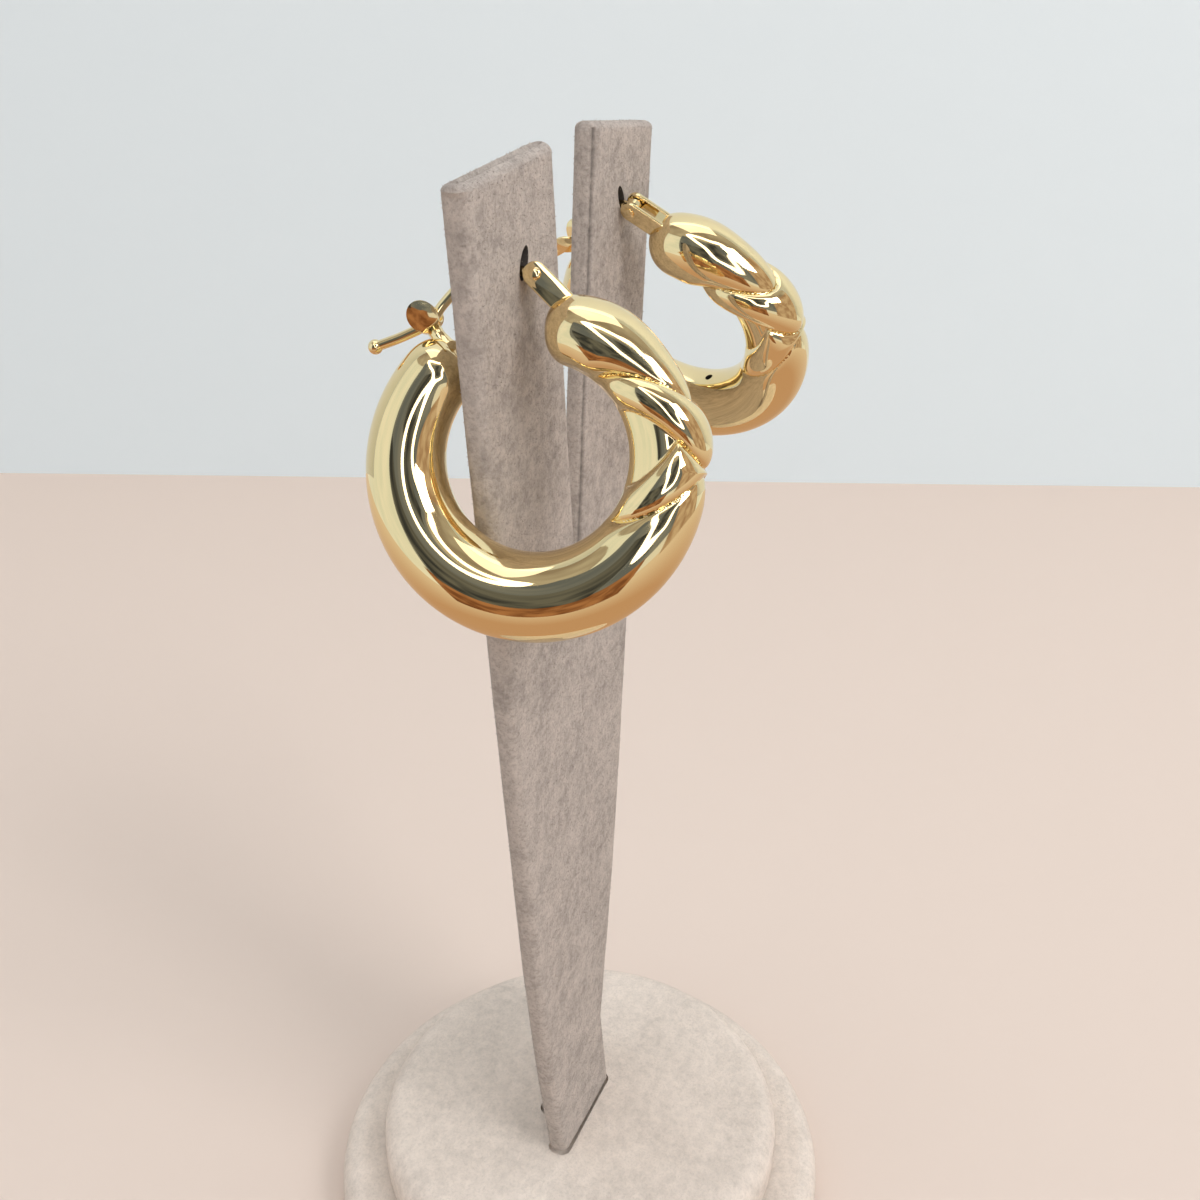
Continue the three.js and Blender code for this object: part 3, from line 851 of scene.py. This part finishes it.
def make_board(side):
    row = BOARDS[side]
    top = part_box("base_upper")[1].z / MM + FOOT_GAP
    seam_corner = 3 if row["side"] < 0 else 2  # the corner towards the other board
    stations = np.concatenate([np.linspace(0, 0.995, BOARD_ROWS), np.full(BOARD_END_ROWS, 1.0)])
    loops, seams = [], []
    for index, s in enumerate(stations):
        closing = max(0, index - BOARD_ROWS + 1)
        x, y, z, lean = board_axis(row, s)
        width = BOARD_WIDTHS[0] + (BOARD_WIDTHS[1] - BOARD_WIDTHS[0]) * min(1, s / FULL_WIDTH_AT)
        outline, flags = rounded_outline(width, BOARD_THICKNESS, BOARD_CORNER)
        inset, drop = np.zeros(2), 0
        if closing:
            angle = closing / BOARD_END_ROWS * math.pi / 2
            inset = (1 - math.cos(angle)) * np.array(BOARD_END_INSET)
            drop = (1 - math.sin(angle)) * BOARD_END_DROP
            drop += 0.3 * max(0, closing - BOARD_END_ROWS + 2)  # fold down the middle of the end
        half = np.array([width / 2, BOARD_THICKNESS / 2])
        scale = (half - inset) / half
        ripple = 0.5 * noise.noise(Vector((s * 9, row["side"] * 3, 0)))
        across, deep = outline[:, 0] * scale[0], outline[:, 1] * scale[1]
        # The seam value sinks a groove along the corner towards the other board and darkens the suede there
        # as painted shade, unevenly along its length.
        seam = np.zeros(len(outline))
        for i, (corner, t) in enumerate(flags):
            if corner == seam_corner and not closing:
                gap = abs(t - 0.5 - 0.2 * ripple)
                stitch = 0.62 + 0.38 * noise.noise(Vector((s * 150, row["side"] * 7, 1)))
                seam[i] = max(0, 1 - gap / 0.2) * stitch
        # The middle of the closed top end is sunk and darkened a little too, as painted shade in its fold.
        if closing == BOARD_END_ROWS:
            seam[:] = 0.45
        across = across * (1 - 0.022 * seam)
        deep = deep * (1 - 0.22 * seam)
        points = np.stack([
            x + across * math.cos(lean),
            y + deep,
            top + z - drop - across * math.sin(lean),
        ], 1)
        loops.append(points)
        seams.append(seam)
    points = np.array(loops).reshape(-1, 3)
    for p in points:  # the cover lies a little uneven on its core
        p[1] += 0.07 * noise.noise(Vector((p[0] * 0.16, row["side"] * 9, p[2] * 0.11)))
        p[0] += 0.06 * noise.noise(Vector((row["side"] * 5, p[1] * 0.3, p[2] * 0.09)))
    mesh = skin(f"board_cover_{side}", (points * MM).reshape(len(stations), -1, 3))
    # The seam attribute carries the painted shade into the suede's colour.
    shade = mesh.attributes.new("seam", "FLOAT", "POINT")
    values = np.zeros(len(mesh.vertices), np.float32)
    flat = np.array(seams).ravel()[: len(values)]
    values[: len(flat)] = flat
    shade.data.foreach_set("value", values)
    piece = object_from(mesh)
    middle = [(a + b) / 2 * MM for a, b in zip(WIRE_ROUTE[1], WIRE_ROUTE[2])]
    hoop = hoop_frame(side)
    up = hoop.to_3x3().col[1]
    wire = hoop @ Vector((*middle, 0)) + up * HOLE_LIFT * MM
    punch = turned("punch", [(0, -1), (MM, -8 * MM), (MM, 8 * MM), (0, 1)], 48)
    punch.transform(Matrix.Translation(wire) @ Matrix.Rotation(math.atan2(up.x, up.z), 4, "Y")
                    @ Matrix.Diagonal((HOLE_HALF[0], 1, HOLE_HALF[1], 1))
                    @ Matrix.Rotation(math.pi / 2, 4, "X"))
    for target in (piece.data, punch):
        target.materials.append(suede_finish("board"))
        target.materials.append(material_named("board_core", board_core))
    # The walls of the slit take the second slot, the painted shade of the hole.
    for face in punch.polygons:
        face.material_index = 1
    combine(piece, punch, "DIFFERENCE")
    piece.data.set_sharp_from_angle(angle=math.radians(60))
    return finished(piece, suede_finish("board"), [f"board_{side}"])


# ---------------------------------------------------------------- base


def pad_profile(radius, bottom, top, rounding, crown):
    """Profile of a covered round pad, in mm: flat underside, soft rim, slightly crowned top."""
    rows = [(0, bottom), (radius * 0.5, bottom), (radius - 0.8, bottom), (radius - 0.1, bottom + 0.5)]
    rows += [(radius, z) for z in np.linspace(bottom + 1, top - rounding, 5)]
    for angle in np.radians(np.arange(8, 90, 8)):
        rows.append((radius - rounding * (1 - math.cos(angle)), top - rounding * (1 - math.sin(angle))))
    for r in np.linspace(radius - rounding, 0.8, 40):
        rows.append((r, top + crown * (1 - (r / (radius - rounding)) ** 2)))
    rows.append((0, top + crown))
    return rows


def make_tier(name, node, rounding, crown, uneven):
    """One covered tier inside its CAD box, with its rounding, crown and unevenness in mm."""
    low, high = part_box(node)
    radius = (high.x - low.x) / 2 / MM
    profile = pad_profile(radius, low.z / MM, high.z / MM - crown, rounding, crown)
    mesh = turned(name, [(r * MM, z * MM) for r, z in profile], 320)
    for v in mesh.vertices:
        share = min(1, max(0, (v.co.z - low.z) / (high.z - low.z)))
        v.co.z += uneven * MM * share * (noise.noise(v.co * 90 + Vector((3, 1, 0))) - 0.5)
    return object_from(mesh)


def make_base():
    lower = make_tier("base_lower_cover", "base_lower", 3.2, 0.1, 0.2)
    upper = make_tier("base_upper_pad", "base_upper", 3.4, 0.25, 0.3)
    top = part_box("base_upper")[1].z
    for row in BOARDS.values():  # slit that each board stands in
        outline, _ = rounded_outline(
            BOARD_WIDTHS[0] + 2 * SLIT_GAP, BOARD_THICKNESS + 2 * SLIT_GAP, BOARD_CORNER + SLIT_GAP)
        foot = (row["side"] * BOARD_FOOT, row["face_foot"] + BOARD_THICKNESS / 2, 0)
        slit = slab("slit", [(x * MM, y * MM) for x, y in outline], top - SLIT_DEPTH * MM, top + 2 * MM)
        slit.transform(Matrix.Translation([v * MM for v in foot]))
        combine(upper, slit, "DIFFERENCE")
    upper.data.set_sharp_from_angle(angle=math.radians(50))
    for piece, node in ((lower, "base_lower"), (upper, "base_upper")):
        piece.data.materials.clear()
        finished(piece, suede_finish("base"), [node])


# ---------------------------------------------------------------- nap


def nap_group():
    """Loose fibres scattered over a surface: closed three-sided spikes, leaning every way."""
    tree, given, output = node_group("loose_nap", {
        "Length": ("NodeSocketFloat", 0.3 * MM),
        "Width": ("NodeSocketFloat", 0.05 * MM),
        "Density": ("NodeSocketFloat", 1e6),
        "Seed": ("NodeSocketInt", 7),
        "Material": ("NodeSocketMaterial", None)})
    spread = add_node(tree, "GeometryNodeDistributePointsOnFaces", {
        "Mesh": given.outputs["Geometry"], "Density": given.outputs["Density"],
        "Seed": given.outputs["Seed"]}, distribute_method="RANDOM")
    fibre = add_node(tree, "GeometryNodeMeshCone", {
        "Vertices": 3, "Radius Top": 0.0, "Radius Bottom": given.outputs["Width"],
        "Depth": given.outputs["Length"]}).outputs["Mesh"]
    lean = add_node(tree, "FunctionNodeRandomValue", {
        0: (-1.1, -1.1, -3.1), 1: (1.1, 1.1, 3.1), "Seed": given.outputs["Seed"]}, data_type="FLOAT_VECTOR")
    turn = add_node(tree, "FunctionNodeRotateRotation", {
        "Rotation": spread.outputs["Rotation"], "Rotate By": lean.outputs[0]}, rotation_space="LOCAL")
    size = add_node(tree, "FunctionNodeRandomValue", {
        2: 0.4, 3: 1.0, "Seed": given.outputs["Seed"]}, data_type="FLOAT")
    fibres = add_node(tree, "GeometryNodeInstanceOnPoints", {
        "Points": spread.outputs["Points"], "Instance": fibre,
        "Rotation": turn.outputs["Rotation"], "Scale": size.outputs[1]}).outputs["Instances"]
    close_group(tree, output, fibres, given.outputs["Material"])
    return tree


def make_nap(source, name, part, share=1.0):
    s = bpy.context.scene.earring_suede
    piece = object_from(source.data.copy(), name)
    tree = bpy.data.node_groups.get("loose_nap") or nap_group()
    run_group(piece, tree, {
        "Length": s.nap_length, "Width": s.nap_width, "Density": s.nap_density / MM**2 * share,
        "Seed": s.seed, "Material": suede_finish(part)})
    return finished(piece, suede_finish(part), [])


# ---------------------------------------------------------------- stage


def card(name, centre, aim, size, material):
    """Flat card that faces `aim`."""
    x, y = size[0] / 2, size[1] / 2
    mesh = mesh_from(name, [(-x, -y, 0), (x, -y, 0), (x, y, 0), (-x, y, 0)], [(0, 1, 2, 3)], False)
    turn = (Vector(aim) - Vector(centre)).to_track_quat("Z", "Y").to_matrix().to_4x4()
    mesh.transform(Matrix.Translation(centre) @ turn)
    mesh.materials.append(material)
    piece = object_from(mesh)
    return piece


def panel_light(name, centre, aim, size, watts):
    """Rectangular soft box that faces `aim`."""
    data = bpy.data.lights.new(name, "AREA")
    data.shape, data.size, data.size_y = "RECTANGLE", *size
    data.energy = watts
    light = bpy.data.objects.new(name, data)
    light.matrix_world = Matrix.Translation(centre) @ (
        Vector(centre) - Vector(aim)).to_track_quat("Z", "Y").to_matrix().to_4x4()
    light.visible_camera = False
    bpy.context.scene.collection.objects.link(light)


def sky_point(centre, azimuth, elevation, distance):
    """Point of the surroundings. Azimuth runs from +X towards +Y, in degrees."""
    a, e = math.radians(azimuth), math.radians(elevation)
    return centre + Vector((math.cos(a) * math.cos(e), math.sin(a) * math.cos(e), math.sin(e))) * distance


def glow(name, first, second, strength, size=0.9, heights=None):
    """Card between two colours, either patchy or shading from one height to another, which
    only the polished metal shows."""
    material = bpy.data.materials.new(name)
    material.use_nodes = True
    tree = material.node_tree
    tree.nodes.clear()
    place = add_node(tree, "ShaderNodeTexCoord").outputs["Object"]
    if heights:
        high = add_node(tree, "ShaderNodeSeparateXYZ", {"Vector": place}).outputs["Z"]
        share = between(tree, high, *heights, 0, 1)
    else:
        share = between(tree, grain(tree, place, size, detail=2), 0.38, 0.62, 0, 1)
    color = blend(tree, share, (*linear(first), 1), (*linear(second), 1))
    light = add_node(tree, "ShaderNodeEmission", {"Color": color, "Strength": strength})
    add_node(tree, "ShaderNodeOutputMaterial", {"Surface": light.outputs["Emission"]})
    return material


def mirror_only(name, points, faces, material):
    """A card of the surroundings that shows in the polished metal and nowhere else."""
    piece = object_from(mesh_from(name, points, faces, False))
    piece.data.materials.append(material)
    piece.visible_camera = piece.visible_diffuse = piece.visible_shadow = False


def sky_patch(name, centre, azimuths, elevations, distance, material, steps=16):
    """Curved card that covers a range of azimuths and elevations round the hoops."""
    points = [sky_point(centre, azimuth, elevation, distance)
              for elevation in np.linspace(*elevations, steps + 1)
              for azimuth in np.linspace(*azimuths, steps + 1)]
    corners = [j * (steps + 1) + i for j in range(steps) for i in range(steps)]
    faces = [(k, k + 1, k + steps + 2, k + steps + 1) for k in corners]
    mirror_only(name, points, faces, material)


def sky_ribbon(name, centre, corners, width, distance, material):
    """Closed ribbon of light through the given directions, `width` degrees wide."""
    loop = [sky_point(Vector(), azimuth, elevation, 1) for azimuth, elevation in corners]
    path = []
    for k, here in enumerate(loop):
        before, after, beyond = loop[k - 1], loop[(k + 1) % len(loop)], loop[(k + 2) % len(loop)]
        bend, twist = 2 * before - 5 * here + 4 * after - beyond, 3 * here - before - 3 * after + beyond
        for t in np.arange(0, 1, 0.1):
            path.append((here + 0.5 * ((after - before) * t + bend * t**2 + twist * t**3)).normalized())
    points, faces, count = [], [], len(path)
    for k, here in enumerate(path):
        after = (k + 1) % count
        aside = here.cross(path[after] - path[k - 1]).normalized() * math.radians(width / 2)
        points += [centre + (here + sign * aside).normalized() * distance for sign in (1, -1)]
        faces.append((2 * k, 2 * k + 1, 2 * after + 1, 2 * after))
    mirror_only(name, points, faces, material)


def make_surroundings(centre):
    """What the gold reflects: the floor, pale walls all round, a dim corner on the camera's
    side with a shelf and a counter in it, and a frame of ceiling lights over it."""
    floor = glow("far_to_near_floor", "#CBA78D", "#E6D6C8", 0.92, heights=(-2.6, -0.9))
    pale = glow("pale_wall", "#EEF3F6", "#DFE9EC", 1.0)
    ceiling = glow("pale_ceiling", "#C9C6BE", "#9C938A", 0.9, 1.6)
    warm = glow("warm_wall", "#CDB9A6", "#A98E79", 0.95, 0.7)
    dim = glow("dim_corner", "#6B7482", "#8A8F96", 0.9)
    darker = glow("dark_shelf", "#3C4046", "#6E7173", 0.9, 0.5)
    brown = glow("wooden_counter", "#7C5238", "#B07F5C", 0.95, 0.5)
    lamp = glow("ceiling_lights", "#FFFFFF", "#FFF8EC", 3.2)
    sky_patch("floor_all_round", centre, (-180, 180), (-89.9, -12), 3.6, floor, 40)
    sky_patch("pale_walls", centre, (-60, 158), (-14, 42), 3.4, pale)
    sky_patch("pale_ceiling", centre, (-180, 180), (41, 90), 3.5, ceiling, 40)
    sky_patch("warm_wall", centre, (242, 300), (-14, 42), 3.4, warm)
    sky_patch("dim_corner", centre, (158, 244), (-3, 49), 3.2, dim)
    sky_patch("dark_shelf", centre, (160, 198), (-4, 27), 3.0, darker)
    sky_patch("dark_gap", centre, (205, 223), (17, 46), 2.9, darker)
    sky_patch("counter", centre, (156, 222), (-26, -2), 3.1, brown)
    frame_corners = [(199, 31), (184, 44), (168, 56), (190, 59), (222, 55),
                     (248, 51), (241, 38), (231, 28), (226, 12), (207, 10)]
    sky_ribbon("light_frame", centre, frame_corners, 6.5, 2.8, lamp)


def make_camera(lens):
    """Camera at eye level with the hoops, a little above and to the left of their fronts."""
    yaw, pitch, roll = CAMERA_TURN
    look = Vector((math.cos(pitch) * math.cos(yaw), math.cos(pitch) * math.sin(yaw), -math.sin(pitch)))
    right = Vector((math.sin(yaw), -math.cos(yaw), 0))
    up = right.cross(look)
    right, up = (math.cos(roll) * right + math.sin(roll) * up,
                 -math.sin(roll) * right + math.cos(roll) * up)
    camera = bpy.data.objects.new("camera", bpy.data.cameras.new("camera"))
    camera.data.lens, camera.data.sensor_width = lens, 36
    camera.data.clip_start, camera.data.clip_end = 0.005, 20
    matrix = Matrix((right, up, -look)).transposed().to_4x4()
    matrix.translation = Vector(CAMERA_PLACE) * MM
    camera.matrix_world = matrix
    bpy.context.scene.collection.objects.link(camera)
    bpy.context.scene.camera = camera
    return camera, look


def make_stage():
    s = bpy.context.scene.earring_stage
    camera, look = make_camera(s.lens)
    scene = bpy.context.scene
    scene.view_settings.view_transform = "Standard"
    scene.world = bpy.data.worlds.new("room")
    scene.world.use_nodes = True
    background = scene.world.node_tree.nodes["Background"]
    background.inputs["Color"].default_value = (*linear("#F1F3F4"), 1)
    background.inputs["Strength"].default_value = s.daylight

    ahead = Vector((look.x, look.y, 0)).normalized()
    wall = camera.location + ahead * BACKDROP_DISTANCE
    wall.z = WALL_HEIGHT / 2
    floor = card("floor", (0, 0, 0), (0, 0, 1), (CARD_SIZE, CARD_SIZE), plain("floor_card", s.floor_color))
    floor.visible_glossy = False  # the gold reflects the wider floor of the surroundings instead
    card("backdrop", wall, wall - ahead, (CARD_SIZE, WALL_HEIGHT), plain("wall_card", s.wall_color))

    hoops = Vector((0, 0, 0.13))
    panel_light("key", (-0.25, -0.85, 0.85), hoops, (0.45, 0.45), s.key)
    panel_light("top", (0.1, 0.1, 1.3), hoops, (0.9, 0.9), s.key * 0.6)
    make_surroundings(hoops)


# ---------------------------------------------------------------- operators and panel


class EARRINGS_OT_hoops(bpy.types.Operator):
    """Make the two hollow hoops with their knotted fronts"""
    bl_idname = "earrings.hoops"
    bl_label = "Hoops"

    def execute(self, context):
        for side in SIDES:
            make_hoop(side)
        return {"FINISHED"}


class EARRINGS_OT_fittings(bpy.types.Operator):
    """Make the hinge fork and the catch that are soldered to each hoop"""
    bl_idname = "earrings.fittings"
    bl_label = "Forks and catches"

    def execute(self, context):
        for side in SIDES:
            make_fittings(side)
        return {"FINISHED"}


class EARRINGS_OT_wires(bpy.types.Operator):
    """Make the hinged ear wires"""
    bl_idname = "earrings.wires"
    bl_label = "Ear wires"

    def execute(self, context):
        for side in SIDES:
            make_wire(side)
        return {"FINISHED"}


class EARRINGS_OT_rivets(bpy.types.Operator):
    """Make the rivets of both hinges"""
    bl_idname = "earrings.rivets"
    bl_label = "Hinge rivets"

    def execute(self, context):
        make_rivets()
        return {"FINISHED"}


class EARRINGS_OT_boards(bpy.types.Operator):
    """Make the two suede-covered boards"""
    bl_idname = "earrings.boards"
    bl_label = "Boards"

    def execute(self, context):
        for side in SIDES:
            make_board(side)
        return {"FINISHED"}


class EARRINGS_OT_base(bpy.types.Operator):
    """Make the round base with its padded upper tier"""
    bl_idname = "earrings.base"
    bl_label = "Base"

    def execute(self, context):
        make_base()
        return {"FINISHED"}


class EARRINGS_OT_nap(bpy.types.Operator):
    """Scatter loose fibres over all the suede"""
    bl_idname = "earrings.nap"
    bl_label = "Nap"

    def execute(self, context):
        for side in SIDES:
            make_nap(bpy.data.objects[f"board_cover_{side}"], f"board_nap_{side}", "board")
        for tier in ("base_lower_cover", "base_upper_pad"):
            make_nap(bpy.data.objects[tier], f"{tier}_nap", "base", 0.6)
        return {"FINISHED"}


class EARRINGS_OT_stage(bpy.types.Operator):
    """Set up the floor, the backdrop, the lights and the camera"""
    bl_idname = "earrings.stage"
    bl_label = "Stage"

    def execute(self, context):
        make_stage()
        return {"FINISHED"}


STEPS = ("stage", "hoops", "fittings", "wires", "rivets", "boards", "base", "nap")


class EARRINGS_PT_panel(bpy.types.Panel):
    """Sizes, colours and steps of the earrings and their stand"""
    bl_label = "Hoop earrings"
    bl_idname = "EARRINGS_PT_panel"
    bl_space_type = "VIEW_3D"
    bl_region_type = "UI"
    bl_category = "Earrings"

    def draw(self, context):
        for title, settings in (("Hoops", context.scene.earring_hoops),
                                ("Ear wires", context.scene.earring_wires),
                                ("Suede", context.scene.earring_suede),
                                ("Stage", context.scene.earring_stage)):
            box = self.layout.box()
            box.label(text=title)
            for name in settings.__annotations__:
                box.prop(settings, name)
        for step in STEPS:
            self.layout.operator(f"earrings.{step}")


SETTINGS = {
    "earring_hoops": HoopSettings,
    "earring_wires": WireSettings,
    "earring_suede": SuedeSettings,
    "earring_stage": StageSettings,
}
CLASSES = (
    *SETTINGS.values(),
    EARRINGS_OT_hoops,
    EARRINGS_OT_fittings,
    EARRINGS_OT_wires,
    EARRINGS_OT_rivets,
    EARRINGS_OT_boards,
    EARRINGS_OT_base,
    EARRINGS_OT_nap,
    EARRINGS_OT_stage,
    EARRINGS_PT_panel,
)


def register():
    for cls in CLASSES:
        bpy.utils.register_class(cls)
    for name, group in SETTINGS.items():
        setattr(bpy.types.Scene, name, PointerProperty(type=group))


def unregister():
    for name in SETTINGS:
        delattr(bpy.types.Scene, name)
    for cls in reversed(CLASSES):
        bpy.utils.unregister_class(cls)


def main():
    register()
    for step in STEPS:
        getattr(bpy.ops.earrings, step)()


if __name__ == "__main__":
    main()
